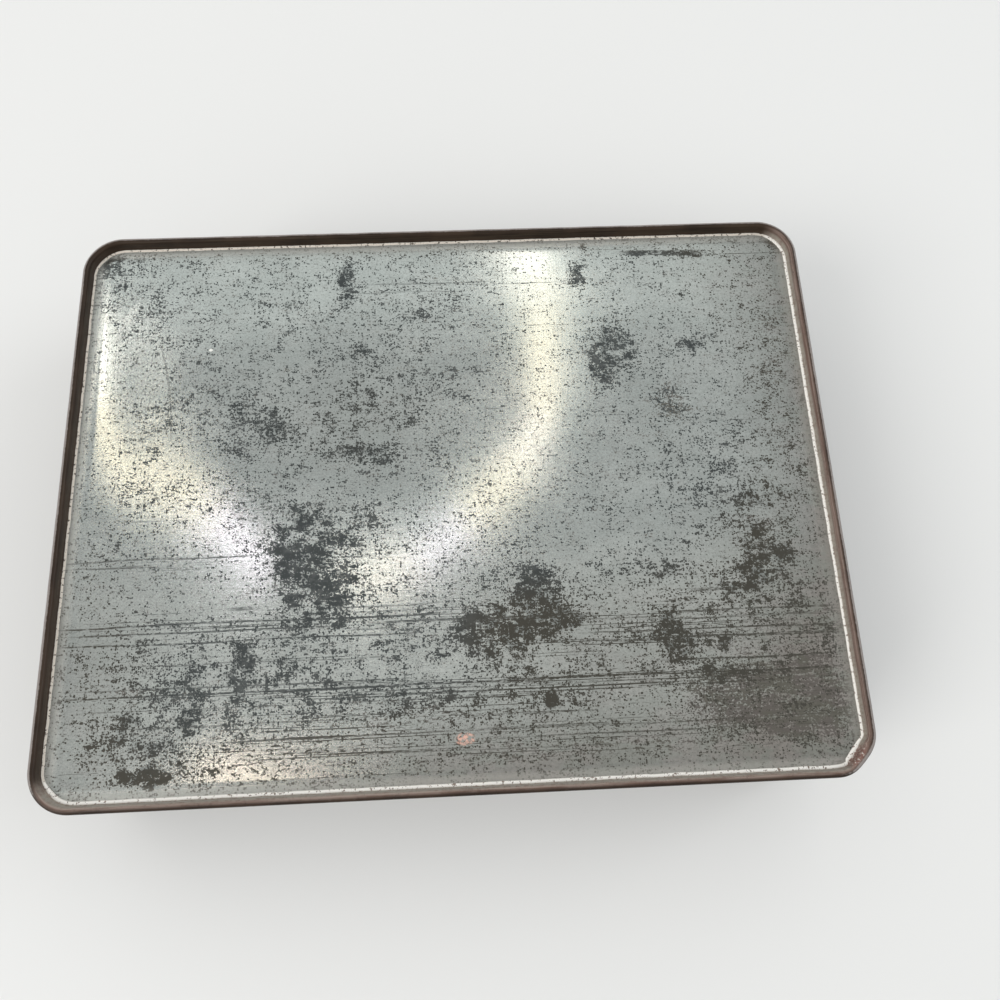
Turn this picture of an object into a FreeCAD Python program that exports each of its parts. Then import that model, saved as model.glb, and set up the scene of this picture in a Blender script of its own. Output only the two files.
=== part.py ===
import FreeCAD, Part
import math
import os

import Sketcher

# A flat rectangular toffee tin, shut, standing upside down on its lid. Millimetres, +Z up.
# X runs along the tin's length and Y along its width. The origin is the middle of the flat face
# that it rests on, the raised field of the lid.
#
# Three pieces:
#   body        the sheet walls and the rim that folds over the edge of the base. A shut tin can't
#               be seen into, so its inside is filled.
#   base_panel  the bare tinplate base, sunk inside the rim and gripped under the rim's cut edge.
#   lid         the cap pushed over the body's other end.

SIZES = {
    # The tin as a whole
    "body_length": 250.0,       # outside the walls, along X
    "body_width": 190.0,        # outside the walls, along Y
    "overall_height": 60.0,     # from the face it rests on to the crest of the rim
    "corner_radius": 13.0,      # the walls' upright corners, outside
    "sheet_gauge": 0.3,         # thickness of the tinplate
    # The rim round the base panel
    "rim_depth": 4.2,           # how far the crest stands above the panel
    "rim_reach": 3.05,          # from the wall's outside to the rim's cut edge on the panel
    "crest_width": 2.2,         # the rounded bead along the crest
    "crest_flat": 0.2,          # the flat left between the bead's two rounds
    # The base panel
    "plate_lap": 1.0,           # how far the panel runs on under the rim
    "plate_gap": 0.05,          # play round the panel's edge
    # The crushed corner of the rim
    "crush_flat": 1.0,          # how deep the blow flattened the corner, at the crest
    "crush_lean": 12.0,         # degrees that the flattened face leans back from upright
    "fold_height": 2.9,         # how far the buckled fold stands above the panel
    "fold_run": 12.0,           # where the fold leaves the end wall's rim, from the side wall
    "fold_tip_end": 8.9,        # the fold's tip, from the end wall
    "fold_tip_side": 6.0,       # the fold's tip, from the side wall
    "fold_root": 9.3,           # where the fold meets the side wall's rim, from the end wall
    # The lap seam down the middle of one long wall
    "seam_width": 6.0,
    "seam_proud": 0.3,
    "seam_stop": 1.0,           # the seam ends this far short of the panel and of the lid's plate
    # The lid
    "lid_slack": 0.8,           # play between the walls and the lid's skirt
    "skirt_height": 20.0,       # from the lid's border to its free edge
    "lid_step": 1.0,            # how far the lid's field is raised above its border
    "lid_border": 9.0,          # width of the lower border round the field
    "edge_gap": 0.1,            # play between the walls' end and the bend inside the lid
    "field_edge": 0.6,          # radius round the raised field
    "skirt_hem": 4.0,           # height of the edge folded back inside the skirt
}

# Levels and outlines worked out from the sizes, as spreadsheet expressions.
PANEL_LEVEL = "(sizes.overall_height - sizes.rim_depth)"
PLATE_UNDERSIDE = "(sizes.overall_height - sizes.rim_depth - sizes.sheet_gauge)"
BODY_BOTTOM = "(sizes.lid_step + sizes.sheet_gauge)"
LID_EDGE_LEVEL = "(sizes.lid_step + sizes.skirt_height)"
FOOT_INSET = "sizes.rim_reach"
CREST_INSET = "sizes.crest_width"
SEAT_INSET = "(sizes.rim_reach - sizes.plate_lap)"
PLATE_INSET = "(sizes.rim_reach - sizes.plate_lap + sizes.plate_gap)"
SKIRT_OUTSIDE = "(-(sizes.lid_slack + sizes.sheet_gauge))"
SKIRT_INSIDE = "(-sizes.lid_slack)"
HEM_INSIDE = "(-(sizes.lid_slack - sizes.sheet_gauge))"
FIELD_INSET = "(sizes.lid_border - sizes.lid_slack - sizes.sheet_gauge)"

UP = FreeCAD.Vector(0, 0, 1)
ALONG = FreeCAD.Vector(0, 1, 0)
DIAGONAL = math.sqrt(0.5)       # the share of a diagonal length that lies along X, or along Y
ARC_SHARE = 1 - DIAGONAL        # how far a corner's middle lies in from each wall, in radii
TOLERANCE = 1e-6


def add_sizes(doc):
    """Put every driving size in the sheet, one row each: its name, its value and its alias."""
    sheet = doc.addObject("Spreadsheet::Sheet", "sizes")
    for row, (name, value) in enumerate(SIZES.items(), start=1):
        sheet.set("A%d" % row, name)
        sheet.set("B%d" % row, str(value))
        sheet.setAlias("B%d" % row, name)
    doc.recompute()
    return sheet


def new_body(doc, label):
    """An empty PartDesign body with the label that names its file."""
    body = doc.addObject("PartDesign::Body", label)
    body.Label = label
    return body


def new_sketch(body, name, level):
    """A sketch parallel to the body's XY plane, at a height given by an expression."""
    plane = [item for item in body.Origin.OriginFeatures if item.Role == "XY_Plane"][0]
    sketch = body.newObject("Sketcher::SketchObject", name)
    sketch.AttachmentSupport = (plane, [""])
    sketch.MapMode = "FlatFace"
    sketch.setExpression("AttachmentOffset.Base.z", level)
    return sketch


def bind(sketch, kind, name, expression, *where):
    """Add one dimension to a sketch and bind it to an expression."""
    number = sketch.addConstraint(Sketcher.Constraint(kind, *where))
    sketch.renameConstraint(number, name)
    sketch.setExpression("Constraints." + name, expression)


def rounded_rectangle(body, name, level, inset):
    """A rounded rectangle about the origin, parallel to the body's outline and inset from it.

    A negative inset lies outside the outline. All of these outlines share their corner centres.
    """
    sketch = new_sketch(body, name, level)
    half_x = SIZES["body_length"] / 2
    half_y = SIZES["body_width"] / 2
    radius = SIZES["corner_radius"]
    centre_x = half_x - radius
    centre_y = half_y - radius

    def line(x0, y0, x1, y1):
        start = FreeCAD.Vector(x0, y0, 0)
        end = FreeCAD.Vector(x1, y1, 0)
        return sketch.addGeometry(Part.LineSegment(start, end), False)

    def corner(sign_x, sign_y, start):
        centre = FreeCAD.Vector(sign_x * centre_x, sign_y * centre_y, 0)
        circle = Part.Circle(centre, UP, radius)
        arc = Part.ArcOfCircle(circle, start, start + math.pi / 2)
        return sketch.addGeometry(arc, False)

    near = line(-centre_x, -half_y, centre_x, -half_y)
    near_right = corner(1, -1, -math.pi / 2)
    right = line(half_x, -centre_y, half_x, centre_y)
    far_right = corner(1, 1, 0)
    far = line(centre_x, half_y, -centre_x, half_y)
    far_left = corner(-1, 1, math.pi / 2)
    left = line(-half_x, centre_y, -half_x, -centre_y)
    near_left = corner(-1, -1, math.pi)

    loop = [near, near_right, right, far_right, far, far_left, left, near_left]
    for first, second in zip(loop, loop[1:] + loop[:1]):
        sketch.addConstraint(Sketcher.Constraint("Tangent", first, 2, second, 1))
    for edge in (near, far):
        sketch.addConstraint(Sketcher.Constraint("Horizontal", edge))
    for edge in (right, left):
        sketch.addConstraint(Sketcher.Constraint("Vertical", edge))
    for arc in (far_right, far_left, near_left):
        sketch.addConstraint(Sketcher.Constraint("Equal", near_right, arc))
    sketch.addConstraint(Sketcher.Constraint("Symmetric", near_left, 3, far_right, 3, -1, 1))

    length = "sizes.body_length - 2 * " + inset
    width = "sizes.body_width - 2 * " + inset
    bind(sketch, "DistanceX", "length", length, left, 1, right, 1, 2 * half_x)
    bind(sketch, "DistanceY", "width", width, near, 1, far, 1, 2 * half_y)
    bind(sketch, "Radius", "corner", "sizes.corner_radius - " + inset, near_right, radius)
    return sketch


def polygon(body, name, level, corners):
    """A closed polygon whose corners are given as pairs of expressions for X and Y."""
    sketch = new_sketch(body, name, level)
    count = len(corners)
    # Start on a circle, so that no two corners fall together before they are bound.
    starts = [FreeCAD.Vector(math.cos(turn), math.sin(turn), 0)
              for turn in [2 * math.pi * place / count for place in range(count)]]
    for place in range(count):
        edge = Part.LineSegment(starts[place], starts[(place + 1) % count])
        sketch.addGeometry(edge, False)
    for place in range(count):
        sketch.addConstraint(Sketcher.Constraint("Coincident", place, 2, (place + 1) % count, 1))
    for place, (across, along) in enumerate(corners):
        start = starts[place]
        bind(sketch, "DistanceX", "x%d" % place, across, -1, 1, place, 1, start.x)
        bind(sketch, "DistanceY", "y%d" % place, along, -1, 1, place, 1, start.y)
    return sketch


def pad(body, name, sketch, length):
    """Raise a sketch by a length given by an expression."""
    feature = body.newObject("PartDesign::Pad", name)
    feature.Profile = sketch
    feature.setExpression("Length", length)
    return feature


def pocket(body, name, sketch, length):
    """Cut a sketch downwards by a length given by an expression."""
    feature = body.newObject("PartDesign::Pocket", name)
    feature.Profile = sketch
    feature.setExpression("Length", length)
    return feature


def edges_at(feature, level):
    """The names of the edges that lie flat at one height."""
    names = []
    for number, edge in enumerate(feature.Shape.Edges, start=1):
        box = edge.BoundBox
        if abs(box.ZMin - level) < TOLERANCE and abs(box.ZMax - level) < TOLERANCE:
            names.append("Edge%d" % number)
    return names


def fillet(doc, body, name, base, level, radius):
    """Round every edge that lies at one height."""
    doc.recompute()
    feature = body.newObject("PartDesign::Fillet", name)
    feature.Base = (base, edges_at(base, level))
    feature.setExpression("Radius", radius)
    return feature


def make_body(doc):
    """The walls as a filled block, the rim sunk into its upper face, the seam and the crush."""
    body = new_body(doc, "body")

    outline = rounded_rectangle(body, "wall_outline", BODY_BOTTOM, "0")
    pad(body, "block", outline, "sizes.overall_height - " + BODY_BOTTOM)

    # The rim's inner wall slopes from the crest down to its cut edge on the panel.
    recess = body.newObject("PartDesign::SubtractiveLoft", "recess")
    recess.Profile = rounded_rectangle(body, "crest_line", "sizes.overall_height", CREST_INSET)
    recess.Sections = [rounded_rectangle(body, "foot_line", PANEL_LEVEL, FOOT_INSET)]
    recess.Ruled = True

    # The crest is a round bead.
    bead = "(sizes.crest_width - sizes.crest_flat) / 2"
    fillet(doc, body, "crest_bead", recess, SIZES["overall_height"], bead)

    # The slot that the edge of the base panel is gripped in.
    seat = rounded_rectangle(body, "seat_outline", PANEL_LEVEL, SEAT_INSET)
    pocket(body, "panel_seat", seat, "sizes.sheet_gauge")

    # The lap seam that closes the sheet into a loop, down the middle of the far long wall.
    half = "sizes.seam_width / 2"
    root = "sizes.body_width / 2 - sizes.crest_width"
    face = "sizes.body_width / 2 + sizes.seam_proud"
    seam = polygon(body, "seam_outline", BODY_BOTTOM + " + sizes.seam_stop",
                   [("-" + half, root), (half, root), (half, face), ("-" + half, face)])
    seam_length = PLATE_UNDERSIDE + " - " + BODY_BOTTOM + " - 2 * sizes.seam_stop"
    pad(body, "lap_seam", seam, seam_length)

    # The blow buckled the rim inwards at the near right corner.
    end = "sizes.body_length / 2 - "
    side = "-sizes.body_width / 2 + "
    mid_rim = "sizes.crest_width / 2"
    corner = "(%s + (sizes.corner_radius - %s) * %.6f)" % (mid_rim, mid_rim, ARC_SHARE)
    fold = polygon(body, "fold_outline", PANEL_LEVEL, [
        (end + mid_rim, side + "sizes.fold_run"),
        (end + "sizes.fold_tip_end", side + "sizes.fold_tip_side"),
        (end + "sizes.fold_root", side + mid_rim),
        (end + corner, side + corner),
    ])
    pad(body, "fold", fold, "sizes.fold_height")

    # It flattened the outside of the same corner: a face across the corner, leaning back from
    # its deepest at the crest. A box whose one face is that face cuts it.
    flat = body.newObject("PartDesign::SubtractiveBox", "crush")
    for edge in ("Length", "Width", "Height"):
        flat.setExpression(edge, "2 * sizes.corner_radius")
    turn = FreeCAD.Rotation(UP, -45)
    lean = FreeCAD.Rotation(ALONG, -SIZES["crush_lean"])
    face = turn.multiply(lean)
    half_box = FreeCAD.Vector(0, SIZES["corner_radius"], SIZES["corner_radius"])
    shift = face.multVec(half_box)
    flat.Placement = FreeCAD.Placement(FreeCAD.Vector(), face)
    from_wall = "(sizes.corner_radius * %.6f + sizes.crush_flat * %.6f)" % (ARC_SHARE, DIAGONAL)
    flat.setExpression("Placement.Base.x",
                       "sizes.body_length / 2 - %s - %.6f" % (from_wall, shift.x))
    flat.setExpression("Placement.Base.y",
                       "-sizes.body_width / 2 + %s - %.6f" % (from_wall, shift.y))
    flat.setExpression("Placement.Base.z", "sizes.overall_height - %.6f" % shift.z)
    body.Tip = flat
    return body


def make_base_panel(doc):
    """The flat tinplate base, as wide as its seat under the rim allows."""
    body = new_body(doc, "base_panel")
    outline = rounded_rectangle(body, "panel_outline", PLATE_UNDERSIDE, PLATE_INSET)
    pad(body, "panel", outline, "sizes.sheet_gauge")
    return body


def make_lid(doc):
    """The lid, upside down: raised field, lower border, upright skirt and its folded edge."""
    body = new_body(doc, "lid")
    outline = rounded_rectangle(body, "skirt_outline", "sizes.lid_step", SKIRT_OUTSIDE)
    block = pad(body, "cap", outline, "sizes.skirt_height")
    bend_inside = "(sizes.lid_slack - sizes.edge_gap)"
    bend_outside = bend_inside + " + sizes.sheet_gauge"
    fillet(doc, body, "bend_outside", block, SIZES["lid_step"], bend_outside)

    inside = rounded_rectangle(body, "hem_inside", LID_EDGE_LEVEL, HEM_INSIDE)
    pocket(body, "mouth", inside, "sizes.skirt_height - sizes.sheet_gauge")
    hem_level = "(" + LID_EDGE_LEVEL + " - sizes.skirt_hem)"
    relief = rounded_rectangle(body, "skirt_inside", hem_level, SKIRT_INSIDE)
    depth = hem_level + " - " + BODY_BOTTOM
    cavity = pocket(body, "skirt_wall", relief, depth)
    plate_inside = SIZES["lid_step"] + SIZES["sheet_gauge"]
    fillet(doc, body, "bend_inside", cavity, plate_inside, bend_inside)

    field_outline = rounded_rectangle(body, "field_outline", "0", FIELD_INSET)
    field = pad(body, "field", field_outline, "sizes.lid_step + sizes.sheet_gauge")
    fillet(doc, body, "field_round", field, 0.0, "sizes.field_edge")
    return body


def check(doc, bodies):
    """Stop if any object failed or any piece isn't one sound solid."""
    for item in doc.Objects:
        if "Invalid" in item.State or "Error" in item.State:
            raise RuntimeError("%s failed: %s" % (item.Name, item.State))
    for body in bodies:
        shape = body.Shape
        if shape.isNull() or not shape.isValid() or len(shape.Solids) != 1:
            raise RuntimeError("%s is not one valid solid" % body.Label)


def main():
    doc = FreeCAD.newDocument("toffee_tin")
    add_sizes(doc)
    bodies = [make_body(doc), make_base_panel(doc), make_lid(doc)]
    doc.recompute()
    check(doc, bodies)
    os.makedirs("parts", exist_ok=True)
    for body in bodies:
        body.Shape.exportStep("parts/%s.step" % body.Label)
        box = body.Shape.BoundBox
        print("%-11s volume %10.1f mm3   box x %7.2f %7.2f   y %7.2f %7.2f   z %6.2f %6.2f"
              % (body.Label, body.Shape.Volume, box.XMin, box.XMax,
                 box.YMin, box.YMax, box.ZMin, box.ZMax))


main()
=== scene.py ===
# %% [markdown]
# # A toffee tin lying on its lid
#
# A flat, shut sweet tin lies upside down, so that its base is what we see. Four things make it look
# like old tinplate: the folded rim with its soft round crest, the thin cut edge of that fold on the
# base, the slightly buckled base panel, and years of dark specks and rubbed lines on bare metal.
#
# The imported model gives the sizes. Each piece is then made again here as a surface worked out with
# numpy, because thin sheet metal needs small bows, dents and a wandering edge.

# %% The fixed model and the modules
import math
from functools import partialmethod

import bpy
import numpy as np
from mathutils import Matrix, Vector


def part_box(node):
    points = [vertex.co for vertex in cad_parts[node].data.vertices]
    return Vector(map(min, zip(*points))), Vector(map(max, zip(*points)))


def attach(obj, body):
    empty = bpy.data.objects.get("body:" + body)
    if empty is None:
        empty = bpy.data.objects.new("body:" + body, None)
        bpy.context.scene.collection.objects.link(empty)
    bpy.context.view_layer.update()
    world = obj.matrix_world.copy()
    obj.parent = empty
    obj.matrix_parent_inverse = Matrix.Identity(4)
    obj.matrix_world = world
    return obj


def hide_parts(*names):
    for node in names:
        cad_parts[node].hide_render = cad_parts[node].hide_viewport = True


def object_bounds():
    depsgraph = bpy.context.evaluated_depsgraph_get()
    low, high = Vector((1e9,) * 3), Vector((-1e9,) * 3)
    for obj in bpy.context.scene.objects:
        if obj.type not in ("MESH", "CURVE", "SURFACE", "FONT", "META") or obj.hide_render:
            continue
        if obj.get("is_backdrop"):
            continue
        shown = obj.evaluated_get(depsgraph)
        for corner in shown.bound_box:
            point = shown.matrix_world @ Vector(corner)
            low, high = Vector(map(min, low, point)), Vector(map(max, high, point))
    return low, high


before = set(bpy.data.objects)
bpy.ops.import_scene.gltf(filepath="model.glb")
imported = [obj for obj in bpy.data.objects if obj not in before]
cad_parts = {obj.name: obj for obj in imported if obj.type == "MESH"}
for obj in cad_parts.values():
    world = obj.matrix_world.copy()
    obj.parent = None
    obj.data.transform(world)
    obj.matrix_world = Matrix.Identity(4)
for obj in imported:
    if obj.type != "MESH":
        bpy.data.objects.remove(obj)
scene = bpy.context.scene
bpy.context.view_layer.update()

# %% [markdown]
# ## Sizes
#
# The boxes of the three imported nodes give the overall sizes. What a box can't tell, such as a bend's
# radius, is named here once, in millimetres.

# %% Sizes from the model, and the few that a box can't tell
MM = 0.001

body_low, body_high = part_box("body")
panel_low, panel_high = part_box("base_panel")
lid_low, lid_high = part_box("lid")

HALF_X = (body_high.x - body_low.x) / 2 / MM    # half of the body's length
HALF_Y = -body_low.y / MM                       # half of its width, without the lap seam
SEAM_PROUD = body_high.y / MM - HALF_Y
CREST_Z = body_high.z / MM                      # top of the rim
PANEL_Z = panel_high.z / MM                     # face of the base panel
PLATE_Z = body_low.z / MM                       # inside of the lid's plate
LID_HALF_X = lid_high.x / MM
LID_EDGE_Z = lid_high.z / MM
GAUGE = (panel_high.z - panel_low.z) / MM       # thickness of the sheet
PANEL_HALF_X = panel_high.x / MM
PANEL_HALF_Y = panel_high.y / MM

CORNER = 13             # outside radius of the body's upright corners
CREST_RADIUS = 1.1      # half the width of the rim's round crest
FOOT_INSET = 3.05       # from the wall's outside to the rim's cut edge

print("body %.1f x %.1f x %.1f mm, sheet %.2f mm" % (2 * HALF_X, 2 * HALF_Y, CREST_Z, GAUGE))
print("the rim stands %.2f mm above the panel" % (CREST_Z - PANEL_Z))

# %% [markdown]
# ## Helpers for surfaces
#
# Every sheet-metal piece here is one profile carried round one rounded rectangle. Each point of
# that outline is kept as two things: a point on the inner rectangle that joins the corner centres,
# and a unit vector that points outwards. The outline at any inset is then the first plus the second
# times (corner radius - inset), so a whole surface is one numpy sum.

# %% Outline of the tin as centres and outward directions


def side_samples(half, step, extra=()):
    """Positions from -half to +half about `step` apart, with any extra ones sorted in."""
    plain = np.linspace(-half, half, max(2, int(round(2 * half / step)) + 1))
    return np.unique(np.concatenate([plain, np.asarray(extra, float)]))


def outline(step, corner_counts=(16, 16, 16, 16), far_extra=()):
    """Centres and outward directions round the tin, anticlockwise from the near left corner.

    Corners come in the order near right, far right, far left, near left. Also gives each
    point's distance along the outline, and the whole way round, in millimetres.
    """
    cx = HALF_X - CORNER
    cy = HALF_Y - CORNER
    near = side_samples(cx, step)
    right = side_samples(cy, step)
    far = -side_samples(cx, step, far_extra)
    ends = [(cx, -cy), (cx, cy), (-cx, cy), (-cx, -cy)]
    sides = [(near, -cy), (cx, right), (far, cy), (-cx, -right)]
    centres, angles = [], []
    for number, (x, y) in enumerate(sides):
        side = np.stack(np.broadcast_arrays(x, y), axis=1)
        angle = (number - 1) * math.pi / 2
        turning = angle + np.linspace(0, math.pi / 2, corner_counts[number] + 1)[1:-1]
        centres += [side, np.tile(ends[number], (len(turning), 1))]
        angles += [np.full(len(side), angle), turning]
    centre = np.concatenate(centres)
    angle = np.concatenate(angles)
    direction = np.stack([np.cos(angle), np.sin(angle)], axis=1)
    points = centre + direction * CORNER
    hops = np.linalg.norm(np.roll(points, -1, axis=0) - points, axis=1)
    along = np.concatenate([[0], np.cumsum(hops)[:-1]])
    return centre, direction, along, hops.sum()


def carried(centre, direction, inward, level):
    """A profile carried round: centre + direction * (corner radius - inset), at its own level."""
    plan = centre[None] + direction[None] * (CORNER - inward)[:, :, None]
    return np.dstack([plan, np.broadcast_to(level, inward.shape)])


centre, direction, along, girth = outline(4)
print("the outline is %.0f mm round, here in %d points" % (girth, len(along)))

# %% [markdown]
# Waves that repeat after one trip round the tin make the wandering edges. A sum of a few sines of
# random phase is enough. An S-shaped step and a round hill are used all over.

# %% Wandering lines, steps and hills


def one_wave(along, girth, wavelength, seed):
    """A smooth random wave of about unit height along a closed outline.

    Formula: the sum of nine sines whose whole number of waves lies near girth / wavelength, of
    random phase and weight, divided by the root of the summed squares of the weights.
    """
    rng = np.random.default_rng(seed)
    waves = np.maximum(1, np.round(girth / wavelength * rng.uniform(0.6, 1.7, 9)))
    phase = rng.uniform(0, 2 * math.pi, 9)
    weight = rng.uniform(0.5, 1, 9)
    rows = weight[:, None] * np.sin(2 * math.pi * waves[:, None] * along / girth + phase[:, None])
    return rows.sum(0) / math.sqrt((weight ** 2).sum())


def wander(along, girth, *parts):
    """The sum of random waves. Each part is a height, a wavelength and a seed."""
    return sum(size * one_wave(along, girth, wavelength, seed) for size, wavelength, seed in parts)


def smooth(low, high, value):
    """0 below `low`, 1 above `high`, and an S-shaped step between them."""
    share = np.clip((value - low) / (high - low), 0, 1)
    return share * share * (3 - 2 * share)


def hill(value, middle, half):
    """A hill of height 1: e to the power of minus the squared distance in half-widths."""
    return np.exp(-((value - middle) / half) ** 2)


def bump(x, y, at_x, at_y, half_x, half_y):
    """A round hill on the panel, with its own half-width each way."""
    return hill(x, at_x, half_x) * hill(y, at_y, half_y)


print("largest wander:", round(float(np.abs(one_wave(along, girth, 30, 1)).max()), 2))

# %% [markdown]
# Two mesh builders are enough. One takes the rings of a profile carried round a closed outline. It
# measures its own signed volume, and turns the faces over if that comes out negative, so that they
# always point outwards. The other joins two grids round their edge into a plate.

# %% Meshes from whole arrays of points


def to_mesh(name, points, quads, triangles=()):
    """Make an object from points in millimetres and rows of corner numbers."""
    loops = np.concatenate([quads.reshape(-1), np.reshape(triangles, -1)])
    sizes = np.concatenate([np.full(len(quads), 4), np.full(len(triangles), 3)])
    starts = np.concatenate([[0], np.cumsum(sizes)[:-1]])
    mesh = bpy.data.meshes.new(name)
    mesh.vertices.add(len(points))
    mesh.vertices.foreach_set("co", (points * MM).astype(np.float32).reshape(-1))
    mesh.loops.add(len(loops))
    mesh.loops.foreach_set("vertex_index", loops.astype(np.int32))
    mesh.polygons.add(len(sizes))
    mesh.polygons.foreach_set("loop_start", starts.astype(np.int32))
    mesh.update(calc_edges=True)
    mesh.validate()
    mesh.polygons.foreach_set("use_smooth", np.ones(len(sizes), bool))
    piece = bpy.data.objects.new(name, mesh)
    scene.collection.objects.link(piece)
    return piece


def signed_volume(points, quads):
    """Six times the volume inside the quads, from the corner triple products."""
    a, b, c, d = (points[quads[:, k]] for k in range(4))
    return np.einsum("ij,ij", a, np.cross(b, c)) + np.einsum("ij,ij", a, np.cross(c, d))


def grid_quads(rows, columns, wrap_rows=False, wrap_columns=True):
    """Corner numbers of a grid whose rows and columns may wrap round."""
    row = np.arange(rows if wrap_rows else rows - 1)
    column = np.arange(columns if wrap_columns else columns - 1)
    r, c = np.meshgrid(row, column, indexing="ij")
    r2 = (r + 1) % rows
    c2 = (c + 1) % columns
    quads = np.stack([r * columns + c, r * columns + c2, r2 * columns + c2, r2 * columns + c], -1)
    return quads.reshape(-1, 4)


def rings(name, grid, capped=False):
    """A closed grid whose columns wrap round. Its rows wrap too, or each end closes to a point."""
    rows, columns = grid.shape[:2]
    poles = np.stack([grid[0].mean(0), grid[-1].mean(0)])
    points = np.concatenate([grid.reshape(-1, 3), poles[:2 * capped]])
    quads = grid_quads(rows, columns, wrap_rows=not capped)
    # A fan of triangles closes each end. Without caps, both fans are empty.
    base, last = rows * columns, (rows - 1) * columns
    first = np.arange(columns * capped)
    second = (first + 1) % columns
    start_cap = np.stack([np.full_like(first, base), second, first], 1)
    end_cap = np.stack([np.full_like(first, base + 1), last + first, last + second], 1)
    triangles = np.concatenate([start_cap, end_cap])
    if signed_volume(points, quads) < 0:
        quads = quads[:, ::-1]
        triangles = triangles[:, ::-1]
    return to_mesh(name, points, quads, triangles)


def plate(name, upper, lower):
    """Two matching grids joined by a strip round their edge into one closed plate."""
    rows, columns = upper.shape[:2]
    face = grid_quads(rows, columns, wrap_columns=False)
    offset = rows * columns
    edge = np.concatenate([
        np.arange(columns),
        np.arange(1, rows) * columns + columns - 1,
        (rows - 1) * columns + np.arange(columns - 2, -1, -1),
        np.arange(rows - 2, 0, -1) * columns,
    ])
    after = np.roll(edge, -1)
    side = np.stack([edge + offset, after + offset, after, edge], -1)
    points = np.concatenate([upper.reshape(-1, 3), lower.reshape(-1, 3)])
    return to_mesh(name, points, np.concatenate([face, face[:, ::-1] + offset, side]))


def store(piece, marks):
    """Store numbers on the vertices, for a material to read by name. Too few are repeated."""
    for name, values in marks.items():
        layer = piece.data.attributes.new(name, "FLOAT", "POINT")
        values = np.resize(values, len(piece.data.vertices))
        layer.data.foreach_set("value", values.astype(np.float32))


print("a tube of 4 by 6 points has", len(grid_quads(4, 6, wrap_rows=True)), "faces")

# %% [markdown]
# ## Camera
#
# The tin is looked down on from just inside its near edge, leaning seventeen degrees from straight
# down. So close a camera shows the rim's inner walls and none of the outer ones.

# %% Camera
EYE = (7.3, -82, 259.2)                 # millimetres from the middle of the base panel
TURN = (16.66, -1.11, -2.58)            # degrees about X, Y and Z, from looking straight down
LENS = 29.9

camera_data = bpy.data.cameras.new("camera")
camera_data.sensor_width = 36
camera_data.lens = LENS
camera_data.clip_start = 0.01
camera_data.clip_end = 50
camera = bpy.data.objects.new("camera", camera_data)
camera.location = (EYE[0] * MM, EYE[1] * MM, (PANEL_Z + EYE[2]) * MM)
camera.rotation_euler = [math.radians(angle) for angle in TURN]
scene.collection.objects.link(camera)
scene.camera = camera
print("camera at", tuple(round(value, 3) for value in camera.location))

# %% [markdown]
# ## Floor and light
#
# Bare metal shows what stands over it more than its own colour. An even pale room gives the panel
# its flat grey, and long, low-powered strips hanging over the tin draw the curved warm gleam across
# it. Each strip is placed by thinking of the panel as a mirror: the point that gleams sends the
# eye's ray up at the same slope to the strip.

# %% Plain floor and even sky
FLOOR_HALF = 4000
FLOOR_COLOUR = (0.77, 0.77, 0.76, 1)
SKY_COLOUR = (0.97, 0.99, 1, 1)
SKY_STRENGTH = 0.73

scene.view_settings.view_transform = "Standard"


def new_material(name):
    """A material with nodes, and its one shader."""
    material = bpy.data.materials.new(name)
    material.use_nodes = True
    return material, material.node_tree.nodes["Principled BSDF"]


floor_points = np.array([[-1, -1, 0], [1, -1, 0], [1, 1, 0], [-1, 1, 0]], float) * FLOOR_HALF
floor = to_mesh("floor", floor_points, np.array([[0, 1, 2, 3]]))
pale, shader = new_material("pale floor")
shader.inputs["Base Color"].default_value = FLOOR_COLOUR
shader.inputs["Roughness"].default_value = 0.7
floor.data.materials.append(pale)
floor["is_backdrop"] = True

world = bpy.data.worlds.new("even sky")
scene.world = world
world.use_nodes = True
sky = world.node_tree.nodes["Background"]
sky.inputs["Color"].default_value = SKY_COLOUR
sky.inputs["Strength"].default_value = SKY_STRENGTH
print("a floor %.0f m wide under a sky of strength %.2f" % (2 * FLOOR_HALF * MM, SKY_STRENGTH))

# %% Lamps: strips for the gleam, and two soft squares


def area_lamp(name, place, size, power, colour):
    """A lamp that is an area of light, at a place in metres."""
    data = bpy.data.lights.new(name, "AREA")
    data.size = size
    data.energy = power
    data.color = colour
    lamp = bpy.data.objects.new(name, data)
    lamp.location = place
    scene.collection.objects.link(lamp)
    return lamp


def strip(name, start, end, width, brightness, colour, height):
    """A rectangular lamp seen in the panel along a line from `start` to `end`.

    The two ends are points on the base panel, in millimetres. Each is carried up the mirrored
    sight line: lamp point = point + (point - eye) * height above the panel / eye's height.
    Brightness is how much brighter than white the strip looks; power = pi * area * brightness.
    """
    points = np.array([start, end], float)
    first, last = points + (points - np.array(EYE[:2])) * height / EYE[2]
    middle = (first + last) / 2 * MM
    span = (last - first) * MM
    size, size_y = float(np.linalg.norm(span)), width * MM
    place = (middle[0], middle[1], (PANEL_Z + height) * MM)
    lamp = area_lamp(name, place, size, math.pi * size * size_y * brightness, colour)
    lamp.data.shape = "RECTANGLE"
    lamp.data.size_y = size_y
    lamp.rotation_euler = (0, 0, math.atan2(span[1], span[0]))
    return lamp


CREAM, YELLOW, LILAC = (1, 0.8, 0.66), (1, 0.77, 0.48), (1, 0.82, 0.98)
WHITE, COOL = (1, 0.9, 0.81), (0.94, 1, 0.98)
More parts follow.
